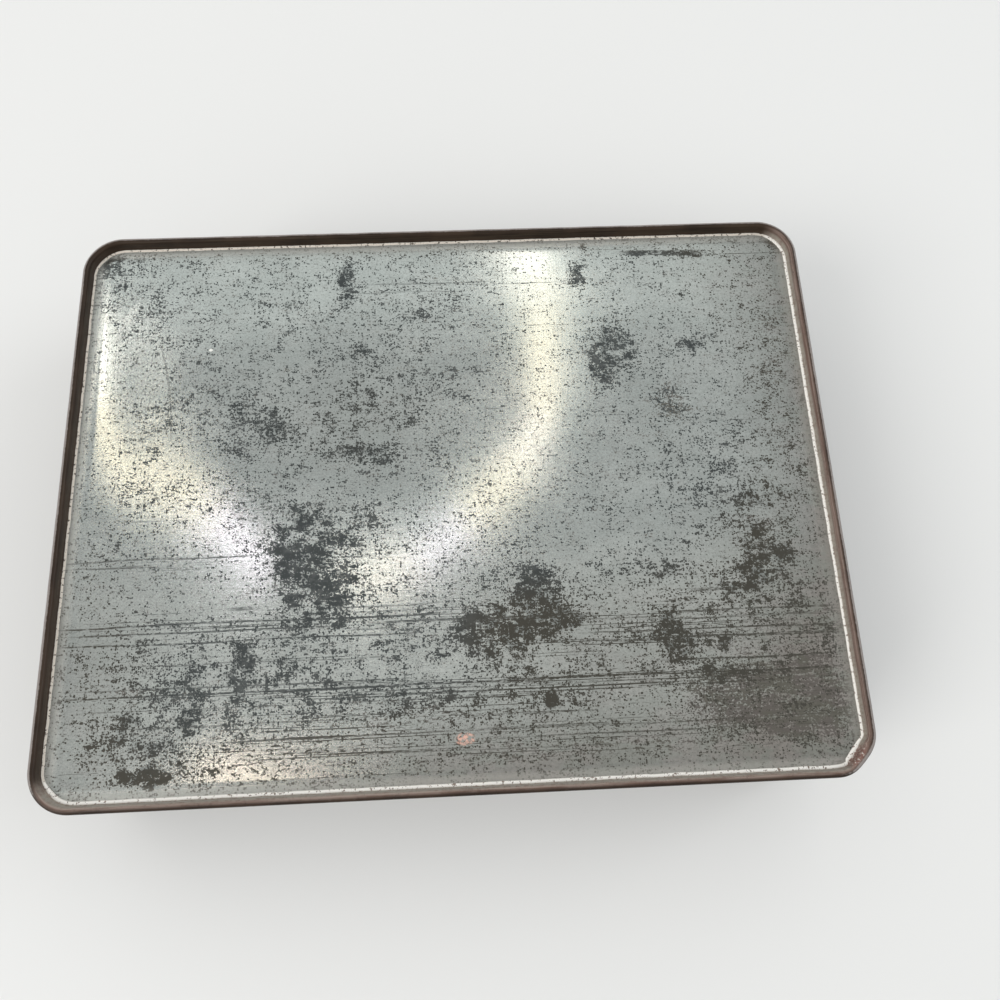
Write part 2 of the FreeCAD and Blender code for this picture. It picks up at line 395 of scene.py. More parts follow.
# Each stretch of the gleam: from and to on the panel, lamp width, brightness, tint.
GLEAM = [
    ((-124, 72), (-116, 40), 30, 6.6, WHITE),
    ((-116, 40), (-106, 14), 14, 5.4, YELLOW),
    ((-106, 14), (-83, -6), 13, 5.8, YELLOW),
    ((-83, -6), (-60, -29), 13, 7, LILAC),
    ((-34, -30), (-13, -27), 16, 4.7, CREAM),
    ((-13, -27), (5, -13), 13, 4.8, LILAC),
    ((5, -13), (19, 7), 13, 5.5, YELLOW),
    ((19, 7), (30, 30), 14, 6, CREAM),
    ((30, 30), (33, 58), 19, 4.1, YELLOW),
    ((33, 58), (31, 78), 21, 2.6, YELLOW),
    ((31, 78), (23, 104), 58, 3, WHITE),
    ((-76, -92), (-44, -93), 24, 10, CREAM),
]
# A wide, dim lamp along each arm gives the gleam its soft border.
HALO = [
    ((-119, 60), (-106, 12), 76, 0.45, COOL),
    ((-106, 12), (-60, -30), 76, 0.45, COOL),
    ((-40, -32), (0, -16), 84, 0.5, COOL),
    ((0, -16), (34, 28), 84, 0.5, COOL),
    ((36, 28), (32, 100), 95, 0.5, COOL),
]
# Two very wide ones lift the far and the near part of the panel.
GLOW = [
    ((-150, 112), (110, 112), 520, 0.26, COOL),
    ((-110, -66), (120, -66), 380, 0.13, WHITE),
]
# The gleam hangs 900 mm above the panel, and the wider lamps a little higher.
for kind, rows, up in ("gleam", GLEAM, 900), ("halo", HALO, 920), ("wide", GLOW, 940):
    for number, row in enumerate(rows):
        strip("%s %d" % (kind, number), *row, up)

# Two soft squares, turned to face the tin.
for lamp in (area_lamp("key", (-1.6, -0.9, 1.5), 1.2, 22, (1, 0.98, 0.95)),
             area_lamp("fill", (1.7, 0.3, 1.3), 1.2, 9, (0.95, 0.98, 1))):
    lamp.rotation_mode = "QUATERNION"
    lamp.rotation_quaternion = lamp.location.to_track_quat("Z", "Y")
print(len(GLEAM + HALO + GLOW), "strips and 2 soft lamps")

# %% [markdown]
# ## Walls and rim
#
# On the real tin one sheet makes the outer wall, bends over at the crest, comes down inside and
# ends in a cut edge that grips the base panel. Here the whole loop of the sheet's two faces is one
# closed profile of inset and height, carried round the outline. Then three fields move the points:
# the wandering cut edge, slight bows of the walls, and the blow that crushed the near right corner.

# %% Profile of the folded sheet


def path(*stops):
    """Points along straight runs. Each stop is inset, height and how many points start its run."""
    runs = []
    for (*start, count), (*end, _) in zip(stops, stops[1:]):
        share = np.arange(count)[:, None] / count
        runs.append(np.array(start) + (np.array(end) - np.array(start)) * share)
    return np.concatenate(runs)


def arc(middle, radius, first, last, count):
    """`count` points on a circle from one angle to another, in degrees, without the last."""
    angle = np.radians(first + (last - first) * np.arange(count) / count)
    return np.array(middle) + radius * np.stack([np.cos(angle), np.sin(angle)], axis=1)


SEAM_LOW = PLATE_Z + 1
SEAM_HIGH = PANEL_Z - GAUGE - 1
SEAM_SLOPE = 0.3                        # height in which the seam's ends rise
BEAD_Z = CREST_Z - CREST_RADIUS         # middle of the round crest
BEAD = (CREST_RADIUS, BEAD_Z)
INNER = 2 * CREST_RADIUS                # inset of the sheet's inner face

profile = np.concatenate([
    path((0, PLATE_Z, 2), (0, SEAM_LOW, 1), (0, SEAM_LOW + SEAM_SLOPE, 3), (0, LID_EDGE_Z - 1, 14),
         (0, SEAM_HIGH - SEAM_SLOPE, 1), (0, SEAM_HIGH, 8), (0, BEAD_Z, 0)),
    arc(BEAD, CREST_RADIUS, 180, 0, 16),
    # Down the inner wall, out along the toe, and over the cut edge.
    path((INNER, BEAD_Z, 9), (2.32, PANEL_Z + 0.85, 1), (2.36, PANEL_Z + 0.58, 1),
         (2.46, PANEL_Z + 0.42, 1), (2.62, PANEL_Z + 0.34, 4), (FOOT_INSET + 0.02, PANEL_Z + 0.17, 1),
         (FOOT_INSET + 0.05, PANEL_Z + 0.09, 1), (FOOT_INSET - 0.02, PANEL_Z, 1),
         (INNER - GAUGE, PANEL_Z, 0)),
    # Back up the hidden face of the sheet, over, and down inside the wall.
    path((INNER - GAUGE, PANEL_Z + 0.3, 2), (INNER - GAUGE, BEAD_Z, 0)),
    arc(BEAD, CREST_RADIUS - GAUGE, 0, 180, 8),
    path((GAUGE, BEAD_Z, 6), (GAUGE, PLATE_Z, 0)),
])
inset, height = profile.T
print("the folded sheet's profile has", len(profile), "points")

# %% [markdown]
# The crush is described round the corner's own centre, by the angle from the corner's diagonal.
# Outside, the rim is flattened where the angle is small. Inside, the cut edge runs straight across
# the corner: a straight line at distance d from the centre lies at radius d / cos(angle).

# %% Which side, and how far from the crushed corner
SEAM_HALF = 3               # half the lap seam's width
SEAM_FLANK = 0.2            # width in which each side of it rises
CRUSH_REACH = 40            # the blow isn't felt farther along the rim than this

seam_edges = (-SEAM_HALF - SEAM_FLANK, -SEAM_HALF, SEAM_HALF, SEAM_HALF + SEAM_FLANK)
centre, direction, along, girth = outline(0.95, (72, 24, 24, 24), seam_edges)
facing_x, facing_y = direction.T
near_side, far_side, right_side, left_side = (
    smooth(0.2, 0.8, facing) for facing in (-facing_y, facing_y, facing_x, -facing_x))

# Degrees from the near right corner's diagonal, and millimetres from it along the outline.
turn = np.degrees(np.arctan2(facing_y, facing_x)) + 45
past_x = centre[:, 0] - (HALF_X - CORNER)
past_y = centre[:, 1] + (HALF_Y - CORNER)
from_corner = np.radians(turn) * CORNER + past_y - np.abs(past_x)
near_crush = (centre[:, 0] > 0) & (centre[:, 1] < 0) & (np.abs(from_corner) < CRUSH_REACH)
print(len(along), "points round the tin,", near_crush.sum(), "of them near the crushed corner")

# %% Carry the profile round the tin and bend it
STRAIGHT = 8                # distance of the crushed edge from the corner's centre
CRUSH_LEAN = 3.6            # degrees by which it leans
TOE_TOP, TOE_LOW = 3, 4.4   # the toe's reach, measured down from the crest
BOW = 0.6                   # share of the walls' random bow that is used

# How far the cut edge is spread over the panel: most along the near and right sides.
right_spread = 0.14 + 0.26 * smooth(-60, 10, centre[:, 1])
spread = (0.45 * near_side + right_spread * right_side + 0.16 * far_side + 0.06 * left_side
          + 0.34 * near_side * left_side + 0.15 * hill(from_corner, 1, 4.4) * near_crush)

# The round cut edge moves in as far as the straight one, and the kink at each end fades that out.
foot_radius = CORNER - FOOT_INSET - spread
angle = np.radians(np.clip(turn - CRUSH_LEAN, -80, 80))
overhang = np.clip(foot_radius - STRAIGHT / np.cos(angle), 0, None)
kink = smooth(-22, -19, turn) * (1 - smooth(26, 48, turn))
fold_in = overhang * kink * near_crush
flatten = 0.85 * hill(from_corner, 0, 5.5) * near_crush
crumple = hill(from_corner, 0, 8) * near_crush

edge_wave = wander(along, girth, (0.05, 14, 3), (0.02, 6, 4))
wall_bow = wander(along, girth, (0.16, 150, 5), (0.05, 35, 6))
crest_dip = wander(along, girth, (0.06, 24, 7), (0.04, 70, 8))

# How much of each field a point of the profile takes.
down = CREST_Z - height
inner_share = smooth(0.6, 3.05, inset) * (down < TOE_LOW)
toe_share = smooth(2.3, 3, inset) * (down < TOE_LOW) * (down > TOE_TOP)
crest_share = hill(down, 0, 2.2) * (inset < 2.3)
wall_share = smooth(0, 14, down) * smooth(LID_EDGE_Z - 4, LID_EDGE_Z + 8, height)
on_seam = (facing_y > 0.99) & (np.abs(centre[:, 0]) < SEAM_HALF + 0.1)
in_seam = (height > SEAM_LOW + 0.1) & (height < SEAM_HIGH - 0.1) & (inset < GAUGE / 2)

# Two patterns of waves, down the profile and along the rim, crumple the crushed corner.
rough = np.outer(np.sin(height * 3.4 + inset * 2), np.sin(from_corner * 2.9 + 1))
finer = np.outer(np.sin(inset * 4.6 + 0.7), np.sin(from_corner * 5.3))
shift = (np.outer(inner_share, edge_wave + fold_in) + np.outer(toe_share, spread)
         + np.outer((1 - inner_share) * np.exp(-down / 6), flatten)
         + BOW * np.outer(wall_share, np.abs(wall_bow)) - SEAM_PROUD * np.outer(in_seam, on_seam)
         + np.outer(inner_share * (down < 3.3), crumple) * (0.2 * rough + 0.13 * finer))
drop = (np.outer(crest_share, np.abs(crest_dip) + 0.55 * crumple)
        - np.outer(inner_share * (down < 3.6), crumple) * (0.25 + 0.3 * rough))

wall_grid = carried(centre, direction, inset[:, None] + shift, height[:, None] - drop)
walls = rings("walls_and_rim", wall_grid)
print("walls and rim:", len(walls.data.polygons), "faces")

# %% [markdown]
# The material has to know where on the sheet it is. The crest, the inner wall and its foot are rubbed,
# each side by its own amount, the spread cut edge is bare and bright, and the crushed corner is
# reddened. Part of this is painted light. The grey crest line is partly a painted highlight, and it is
# kept off the near side as painted shade. The near inner wall and the pale band at the wall's foot are
# lightened as painted light against the wall's shade. The cut edge is brightest along its middle as a
# painted highlight, with painted shade on either side. All of that is known here exactly, so it's
# stored as numbers on the vertices.

# %% Where the lacquer is worn on the rim, and where light and shade are painted on it
on_toe = down > TOE_TOP
on_rim = down < 5
inner_wall = smooth(1, 2.1, inset)
all_round = np.ones(len(along))
# On the near side the inner wall is coppery from rubbing, and it is also lightened as painted light
# against its shade.
near_rub_and_painted_light = np.outer(smooth(0.5, 1.8, inset), near_side)
other_rub = np.outer(inner_wall, 1 - near_side)
rub_side = np.clip(near_side + 0.85 * right_side + 0.05 * left_side, 0, 1)
# A pale band low on the inner wall, mainly on the right and near sides. It is rubbed lacquer, made
# lighter as painted light that lifts the shade at the wall's foot, most of all on the near side.
low_mark = smooth(1.3, 2.4, down) * (inset > 1.8) * on_rim
low_side = np.clip(0.9 * right_side + 0.04 * left_side, 0, 1) * (1 - near_side)
near_low_wear_and_light = np.outer(smooth(1.3, 2.2, inset) * on_rim, near_side)
RIM_MARKS = {
    # crest: a grey line on the crest's outer half, partly worn lacquer and partly a painted highlight.
    # It is left off the near side, where the crest stays dark as painted shade.
    "crest": np.outer(hill(inset, 0.62, 0.46) * (down < CREST_RADIUS),
                      1 - 0.85 * near_side * (1 - crumple)),
    "toe": np.outer(smooth(2.34, 2.6, inset) * on_toe, all_round),
    "crush": np.outer(smooth(0.8, 1.8, inset) * on_rim, hill(from_corner, -0.6, 5) * near_crush),
    "rub_and_painted_light": (near_rub_and_painted_light + other_rub) * rub_side,
    "low": np.outer(low_mark, low_side) + near_low_wear_and_light,
    # core: the middle of the bare cut edge, painted brightest as a highlight. The rest of the bare toe
    # takes a darker colour as painted shade.
    "core": np.outer(hill(inset, 2.8, 0.24) * on_toe, all_round),
    "inside": np.outer(inner_wall * on_rim, all_round),
}
store(walls, RIM_MARKS)
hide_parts("body")
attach(walls, "root")
print("marks on the rim:", ", ".join(RIM_MARKS))

# %% [markdown]
# ## Base panel
#
# The base is a flat plate gripped all round, and such plates buckle by a few tenths of a
# millimetre. On bare metal that bends every reflection, so it's modelled and not left to the
# material. Each row of points is as wide as the rounded outline is at that height, and rows crowd
# towards the near and the far edge.

# %% Plate as a grid that fills a rounded outline
PANEL_CORNER = CORNER - (HALF_X - PANEL_HALF_X)
STEP = 1.25
CROWDING = 1.42             # radians of a sine that spaces the rows
GROOVE = 0.1                # depth of the line pressed in beside the cut edge


def half_width(y):
    """Half the plate's width at height y: full, less the corner's arc near the ends."""
    over = np.clip(np.abs(y) - (PANEL_HALF_Y - PANEL_CORNER), 0, PANEL_CORNER)
    return PANEL_HALF_X - (PANEL_CORNER - np.sqrt(PANEL_CORNER ** 2 - over ** 2))


def buckle(x, y, edge):
    """Height of the plate's buckles, in millimetres, which fade to nothing at its edge.

    Formula: ten long waves of random direction, a hill and a hollow.
    """
    rng = np.random.default_rng(11)
    heading = rng.uniform(0, math.pi, 10)
    wave = rng.uniform(38, 120, 10)
    phase = rng.uniform(0, 2 * math.pi, 10)
    rows = sum(0.0011 * w * np.sin(2 * math.pi * (x * math.cos(a) + y * math.sin(a)) / w + p)
               for a, w, p in zip(heading, wave, phase))
    hills = 0.1 * bump(x, y, 60, 30, 40, 30) - 0.08 * bump(x, y, -70, -45, 34, 26)
    return smooth(0.5, 26, edge) * (rows * 0.55 + hills)


spacing = np.sin(np.linspace(-1, 1, int(2 * PANEL_HALF_Y / STEP)) * CROWDING)
rows_y = PANEL_HALF_Y * spacing / math.sin(CROWDING)
columns = np.linspace(-1, 1, int(2 * PANEL_HALF_X / STEP))
grid_x = np.outer(half_width(rows_y), columns)
grid_y = np.outer(rows_y, np.ones(len(columns)))
rim_distance = np.minimum(PANEL_HALF_X - np.abs(grid_x), PANEL_HALF_Y - np.abs(grid_y))
top = PANEL_Z + buckle(grid_x, grid_y, rim_distance) - GROOVE * hill(rim_distance, 3.4, 0.9)
panel = plate("tin_base_panel", np.dstack([grid_x, grid_y, top]),
              np.dstack([grid_x, grid_y, top - GAUGE]))
print("base panel:", len(panel.data.polygons), "faces, buckled by %.2f mm" % np.ptp(top))

# %% [markdown]
# Tinplate goes dark where the tin has worn through, in specks that thicken into patches. The material
# makes the specks from noise. Where they thicken is this tin's own history, so it's written down as a
# list of stains in millimetres, and added up into one number per vertex. Four more numbers say where a
# thin film lies, where the metal is browner and darker (partly real tarnish, partly painted shade),
# where long rubbed lines run, and how near the rim is, for a band of painted shade beside it.

# %% Stains of this tin
# Each row: middle x and y, half-width, half-height, strength. Below zero, the metal stayed clean.
STAINS = [
    # Broad wear.
    (-20, -50, 105, 26, 0.2), (-46, 8, 26, 30, 0.16), (96, -16, 22, 34, 0.16),
    (-94, 14, 16, 22, 0.12), (-92, -76, 26, 13, 0.22), (-112, 82, 12, 10, 0.26),
    (-66, -62, 24, 7, 0.14), (-22, 32, 16, 20, 0.12), (48, -60, 22, 3, 0.12),
    (-66, -60, 14, 6, 0.14), (22, -40, 12, 8, 0.14), (-88, 60, 24, 30, 0.06),
    (-44, 62, 12, 16, 0.08), (-8, 48, 22, 24, 0.07), (114, 22, 12, 22, 0.08),
    # The largest patch, left of the middle, and the one to its right.
    (-43, -25, 12.5, 10, 0.9), (-37, -32, 8, 5, 0.32), (-53, -12.5, 2.6, 2.2, 0.9),
    (-46, -7, 4, 2.4, 0.8), (-35, -41, 2, 5, 0.6), (18, -44, 13, 6.5, 0.85), (22, -35, 7, 7, 0.45),
    (25, -28, 4, 7, 0.5), (35, -44, 4.5, 2.6, 0.75), (9, -47, 9, 4, 0.3),
    # Small dark blots.
    (67, -48, 3, 4.5, 1.2), (70, -53, 3.6, 2.6, 0.9), (61, -51, 5, 1.4, 0.7),
    (-65, -56, 2.6, 7, 2.4), (-34, 76, 2.8, 5.5, 1.5), (-36, 81, 1.8, 2, 0.6), (-30, 50, 5, 4, 0.4),
    (-54, 60, 4, 6, 0.22), (56, 56, 4, 4, 0.8), (53, 43, 3.6, 8, 1.1), (61, 47, 4.2, 6, 0.65),
    (56, 26, 0.9, 3, 0.6), (47, 77, 2.8, 4.4, 1.2), (86, 49, 4, 2.4, 0.9), (91, 85, 2.4, 1.6, 0.8),
    (-93, -87, 7, 2.6, 0.6), (29, -69, 1.6, 2.6, 0.85), (84, -55, 1.4, 3, 0.75),
    (97, -57, 1.2, 2.6, 0.5), (98, 90, 4, 3, 0.4), (-118, 88, 4, 3, 0.35),
    # A dark streak beside the far edge.
    (70, 85.4, 4, 0.8, 0.4), (79, 85.3, 4, 0.9, 0.6), (88, 84.9, 4, 1.2, 0.7),
    # Loose clouds of specks.
    (-66, 24, 13, 5, 0.34), (-60, 16, 20, 3, 0.15), (-28, 12, 8, 14, 0.22), (-99, 2, 6, 6, 0.25),
    (-94, -70, 12, 6, 0.2), (-15, -68, 22, 6, 0.2), (-88, -84, 12, 4, 0.18), (-25, -52, 12, 3, 0.2),
    (101, -22, 7, 11, 0.6), (92, -33, 9, 5, 0.45), (72, -31, 10, 4, 0.24), (86, 10, 14, 9, 0.14),
    (74, 28, 5, 6, 0.2), (-89, 84, 4, 3, 0.5), (-97, 70, 8, 8, 0.16), (-5, 68, 6, 8, 0.2),
    (84, -62, 16, 5, 0.25),
    # Cleaner places.
    (34, 36, 9, 42, -0.11), (20, 12, 12, 16, -0.1), (-72, -22, 12, 16, -0.14),
    (-112, 20, 9, 40, -0.08), (88, -58, 10, 5, -0.14), (-66, -38, 11, 9, -0.14),
    (36, 84, 12, 9, -0.11),
]
# A thin brown-grey film with light flecks left in it.
FILM = [
    (95, -68, 18, 9, 1.05), (109, -62, 5, 8, 0.6), (107, -78, 13, 6.5, 1.1), (84, -70, 12, 8, 0.85),
    (100, -24, 6, 9, 0.65), (76, 27, 6, 7, 0.75), (116, -62, 5, 18, 0.45), (88, -47, 24, 9, 0.36),
    (-20, -70, 40, 6, 0.3), (113, 50, 8, 36, 0.36), (60, -80, 50, 7, 0.36), (-90, -62, 20, 4, 0.28),
    (0, -84, 60, 4, 0.3),
]
# Where the sheet is a browner, darker grey: partly real tarnish, and partly painted shade that darkens
# the right side and thin strips along the far and right rim.
TARNISH_AND_SHADE = [
    (112, -60, 30, 30, 0.8), (127, 10, 22, 110, 0.6), (58, -90, 80, 22, 0.55),
    (58, -54, 32, 22, 0.34), (112, -88, 30, 16, 0.35), (-32, 26, 34, 24, 0.14),
    (104, 78, 30, 24, 0.22), (58, 14, 22, 26, 0.03), (-120, -60, 24, 44, 0.34),
    (-30, -97, 70, 16, 0.4), (102, -22, 22, 18, 0.16), (18, -46, 20, 14, 0.2),
    (20, -90, 80, 14, 0.22), (0, 91.5, 130, 4, 0.42), (121, 0, 4, 100, 0.42),
]
# Bands of rubbed lines, long and low.
BANDS = [
    (-96, -22, 24, 3.5, 0.7), (-40, -43, 90, 5, 0.8), (70, -47, 60, 6, 0.85), (20, -36, 60, 3, 0.4),
    (-20, -53, 110, 3, 0.55), (-30, -62, 95, 3, 0.9), (40, -64, 90, 4, 0.7), (0, -73, 120, 7, 0.75),
    (0, -82, 110, 5, 0.6), (-4, 76, 40, 3, 0.55), (-20, 59, 60, 1.6, 0.4), (80, 85, 40, 3, 0.5),
    (70, -8, 50, 2, 0.4), (-50, 4, 50, 3, 0.35), (60, 30, 40, 6, 0.25),
]


def add_up(table):
    """The sum over the panel of listed hills, each of its own size and strength."""
    return sum(row[4] * bump(grid_x, grid_y, *row[:4]) for row in table)


PANEL_MARKS = {
    "stain": add_up(STAINS),
    "film": np.clip(add_up(FILM), 0, 1),
    "tarnish_and_shade": np.clip(add_up(TARNISH_AND_SHADE), 0, 1),
    "bands": np.clip(add_up(BANDS), 0, 1),
    # edge: nearness to the rim. The material uses it for a duller, darker band as painted shade beside
    # the rim.
    "edge": np.exp(-(rim_distance / 3.6) ** 4),
}
store(panel, PANEL_MARKS)       # on the upper face, and again on the hidden lower one
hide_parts("base_panel")
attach(panel, "root")
print(len(STAINS), "stains, a mean of %.2f of full strength" % PANEL_MARKS["stain"].mean())

# %% [markdown]
# ## Lid
#
# The tin lies on its lid, so only a strip of skirt is seen, from the side. Its profile starts in
# the middle of the raised field that rests on the floor, runs out and up to the folded edge, and
# comes back inside to the middle of the plate. Each end closes at one point.

# %% Lid as a capped profile
LID_OUT = HALF_X - LID_HALF_X               # inset of the skirt's outside, below zero
SKIRT_IN = LID_OUT + GAUGE
HEM_IN = SKIRT_IN + GAUGE
LID_STEP = PLATE_Z - GAUGE                  # the field is raised this much above the border
FIELD = LID_OUT + 9                         # inset of the field's edge
FIELD_ROUND = 0.6
BEND = 1                                    # outer radius where the plate meets the skirt
INNER_BEND = BEND - GAUGE
HEM_LOW = LID_EDGE_Z - 4                    # where the hem inside the skirt ends
EDGE = GAUGE / 2 + 0.15                     # radius of the folded edge
EDGE_MIDDLE = LID_EDGE_Z - EDGE
RING_SHARES = (0.9, 0.7, 0.45, 0.2, 0.05)   # sizes of the rings that close each end

lid_profile = np.concatenate([
    arc((FIELD + FIELD_ROUND, FIELD_ROUND), FIELD_ROUND, -90, -180, 6),
    path((FIELD, FIELD_ROUND, 2), (FIELD, LID_STEP - 0.1, 0)),
    path((FIELD - 0.1, LID_STEP, 8), (LID_OUT + BEND, LID_STEP, 0)),
    arc((LID_OUT + BEND, LID_STEP + BEND), BEND, -90, -180, 8),
    path((LID_OUT, LID_STEP + BEND, 16), (LID_OUT, EDGE_MIDDLE, 0)),
    arc((LID_OUT + EDGE, EDGE_MIDDLE), EDGE, 180, 0, 8),
    path((HEM_IN, EDGE_MIDDLE, 4), (HEM_IN, HEM_LOW, 0)),
    path((SKIRT_IN, HEM_LOW - 0.1, 6), (SKIRT_IN, PLATE_Z + INNER_BEND, 0)),
    arc((SKIRT_IN + INNER_BEND, PLATE_Z + INNER_BEND), INNER_BEND, 180, 270, 5),
    path((SKIRT_IN + INNER_BEND, PLATE_Z, 3), (FIELD, PLATE_Z, 0)),
])
centre, direction, along, girth = outline(2.5, (20, 20, 20, 20))
lid_inset, lid_height = lid_profile.T
skirt_share = smooth(1.5, 6, lid_height) * smooth(0.5, -0.2, lid_inset)
lid_bow = np.abs(wander(along, girth, (0.1, 120, 21), (0.05, 30, 22)))
lid_inward = lid_inset[:, None] + np.outer(skirt_share, lid_bow)
lid_rings = carried(centre, direction, lid_inward, lid_height[:, None])


def shrink(ring, shares):
    """Copies of a ring drawn in towards its middle, one for each share of its full size."""
    middle = ring.mean(0)
    return middle + (ring - middle)[None] * np.asarray(shares)[:, None, None]


outwards = shrink(lid_rings[0], RING_SHARES[::-1])
inwards = shrink(lid_rings[-1], RING_SHARES)
lid = rings("tin_lid", np.concatenate([outwards, lid_rings, inwards]), capped=True)
print("lid:", len(lid.data.polygons), "faces")

# %% Wear on the lid: its folded edge, its bend and its field's edge
WEAR_HALF = 0.45            # half-width of a worn line
extra = len(RING_SHARES)
ring_height = np.pad(lid_height, extra, constant_values=(0, PLATE_Z))
ring_inset = np.pad(lid_inset, extra, constant_values=50)
folded = hill(ring_height, LID_EDGE_Z, WEAR_HALF) * (ring_inset < 0)
bend_mark = hill(ring_height, LID_STEP + 0.3, WEAR_HALF) * (ring_inset < 0.2)
field_mark = hill(ring_inset, FIELD + 0.3, 0.5) * (ring_height < 0.4)
lid_wear = np.repeat(np.clip(folded + bend_mark + field_mark, 0, 1), len(along))
store(lid, {**dict.fromkeys(RIM_MARKS, [0]), "crest": np.append(lid_wear, [0, 0])})
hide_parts("lid")
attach(lid, "root")
print("worn share of the lid: %.3f" % lid_wear.mean())

# %% [markdown]
# ## Finishes
#
# A finish is worked out at every point of the surface, from noise and from the numbers stored on
# the vertices. The signs +, -, * and / between two outputs each make one maths node, which keeps
# formulas short. Shared effects are node groups with named inputs and outputs: woven specks,
# rubbed lines, fine scratches, a stroke and a spot. They put out masks and a height only.

# %% Small helpers for nodes


class Value:
    """What a node puts out. A sign between two values, or a value and a number, makes a node."""

    def __init__(self, graph, socket):
        self.graph = graph
        self.socket = socket

    def maths(self, operation, other=0):
        """This value, an operation, and another value or a number."""
        return self.graph.maths(operation, self, other)

    def __rsub__(self, other):
        """A plain number less this value."""
        return self.graph.maths("SUBTRACT", other, self)

    __add__ = partialmethod(maths, "ADD")
    __sub__ = partialmethod(maths, "SUBTRACT")
    __mul__ = partialmethod(maths, "MULTIPLY")
    __truediv__ = partialmethod(maths, "DIVIDE")
    __abs__ = partialmethod(maths, "ABSOLUTE")
    larger = partialmethod(maths, "MAXIMUM")
    smaller = partialmethod(maths, "MINIMUM")

    def step(self, low, high, start=0, end=1):
        """An S-shaped step from start to end, between two limits."""
        inputs = {"Value": self, "From Min": low, "From Max": high, "To Min": start, "To Max": end}
        made = self.graph.node("ShaderNodeMapRange", inputs, interpolation_type="SMOOTHSTEP")
        return self.graph.out(made, "Result")

    def mix(self, first, second):
        """The first colour where this value is 0, and the second where it is 1."""
        made = self.graph.node("ShaderNodeMix", {0: self, 6: first, 7: second}, data_type="RGBA")
        return self.graph.out(made, 2)


class Graph:
    """A node tree with short calls for the nodes used here."""

    def __init__(self, tree):
        self.tree = tree

    def node(self, kind, inputs=None, **settings):
        """Make a node, set it up, and feed its inputs by name."""
        made = self.tree.nodes.new(kind)
        for name, value in settings.items():
            setattr(made, name, value)
        self.feed(made, inputs or {})
        return made

    def feed(self, node, inputs):
        """Link each input of a node to a value, or set it to a plain number or colour."""
        for name, value in inputs.items():
            socket = node.inputs[name]
            if isinstance(value, Value):
                self.tree.links.new(value.socket, socket)
            else:
                socket.default_value = (*value, 1) if isinstance(value, tuple) else value

    def out(self, node, name):
        """One output of a node, by its name or number."""
        return Value(self, node.outputs[name])

    def maths(self, operation, first, second):
        """One maths node on two values or numbers."""
        return self.out(self.node("ShaderNodeMath", {0: first, 1: second}, operation=operation), 0)

    def place(self, scale):
        """Position on the object in millimetres, divided by a grain size along each axis."""
        spot = self.out(self.node("ShaderNodeTexCoord"), "Object")
        made = self.node("ShaderNodeMapping", {"Vector": spot})
        made.inputs["Scale"].default_value = [1 / MM / size for size in scale]
        return self.out(made, "Vector")

    def noise(self, scale, detail, rough, warp=0):
        """Noise whose grains are about `scale` millimetres along X, Y and Z."""
        inputs = {"Vector": self.place(scale), "Scale": 1, "Detail": detail,
                  "Roughness": rough, "Distortion": warp}
        return self.out(self.node("ShaderNodeTexNoise", inputs), "Fac")

    def attributes(self, *names):
        """Numbers stored on the vertices, by name."""
        nodes = [self.node("ShaderNodeAttribute", attribute_name=name) for name in names]
        return [self.out(node, "Fac") for node in nodes]

    def relief(self, height, strength, distance):
        """A bump in the surface, `distance` metres high."""
        inputs = {"Height": height, "Strength": strength, "Distance": distance}
        return self.out(self.node("ShaderNodeBump", inputs), "Normal")

    def use(self, name, **inputs):
        """Place a shared effect here with its own values, and give back what it puts out."""
        made = self.node("ShaderNodeGroup", node_tree=bpy.data.node_groups[name])
        self.feed(made, inputs)
        values = [Value(self, socket) for socket in made.outputs]
        return values[0] if len(values) == 1 else values


def start_group(name, inputs, outputs=("Mask",)):
    """An empty node group with number sockets: its graph, its inputs as values, and its end."""
    group = bpy.data.node_groups.new(name, "ShaderNodeTree")
    for label in inputs:
        group.interface.new_socket(label, in_out="INPUT", socket_type="NodeSocketFloat")
    for label in outputs:
        group.interface.new_socket(label, in_out="OUTPUT", socket_type="NodeSocketFloat")
    graph = Graph(group)
    entry = graph.node("NodeGroupInput")
    print("group:", name)
    return graph, [graph.out(entry, label) for label in inputs], graph.node("NodeGroupOutput")


print("a graph has", len([name for name in dir(Graph) if name[0] != "_"]), "short calls")

# %% [markdown]
# ### Specks
#
# Worn tinplate isn't dotted evenly. Its specks are about half a millimetre across. They gather in
# clumps and clouds, and also along and across the sheet's rolled grain, which looks faintly woven.
# One fine noise makes the grains. Weave, clumps, clouds and density are added to it, so that more
# of it passes a threshold. Where it's dense the coarser noises count for more, so that specks grow
# into ragged patches. Small round dots are strewn among them by the same numbers.

# %% Group: woven specks
graph, (wanted,), end = start_group("Woven specks", ["Density"], ["Mask", "Film"])
grains = graph.noise((0.8, 0.72, 0.8), 3, 0.78)
weave = graph.noise((8, 0.85, 1), 2, 0.6) + graph.noise((0.9, 6.5, 1), 2, 0.6) - 1
clumps = graph.noise((2.7, 2.2, 2), 2, 0.6) - 0.5
clouds = graph.noise((7, 5.5, 5), 3, 0.6, 0.3) - 0.5
broad = graph.noise((34, 20, 20), 3, 0.65) - 0.5
ragged = (clouds * 3.4 + broad * 4 + 1).larger(0.12)
density = (wanted * ragged).smaller(0.86)
total = (grains + weave * 0.22 + clumps * (density * 0.62 + 0.26)
         + clouds * (density * 0.3 + 0.18))
ragged_specks = (total - (0.68 - density * 0.25)).step(-0.012, 0.016)

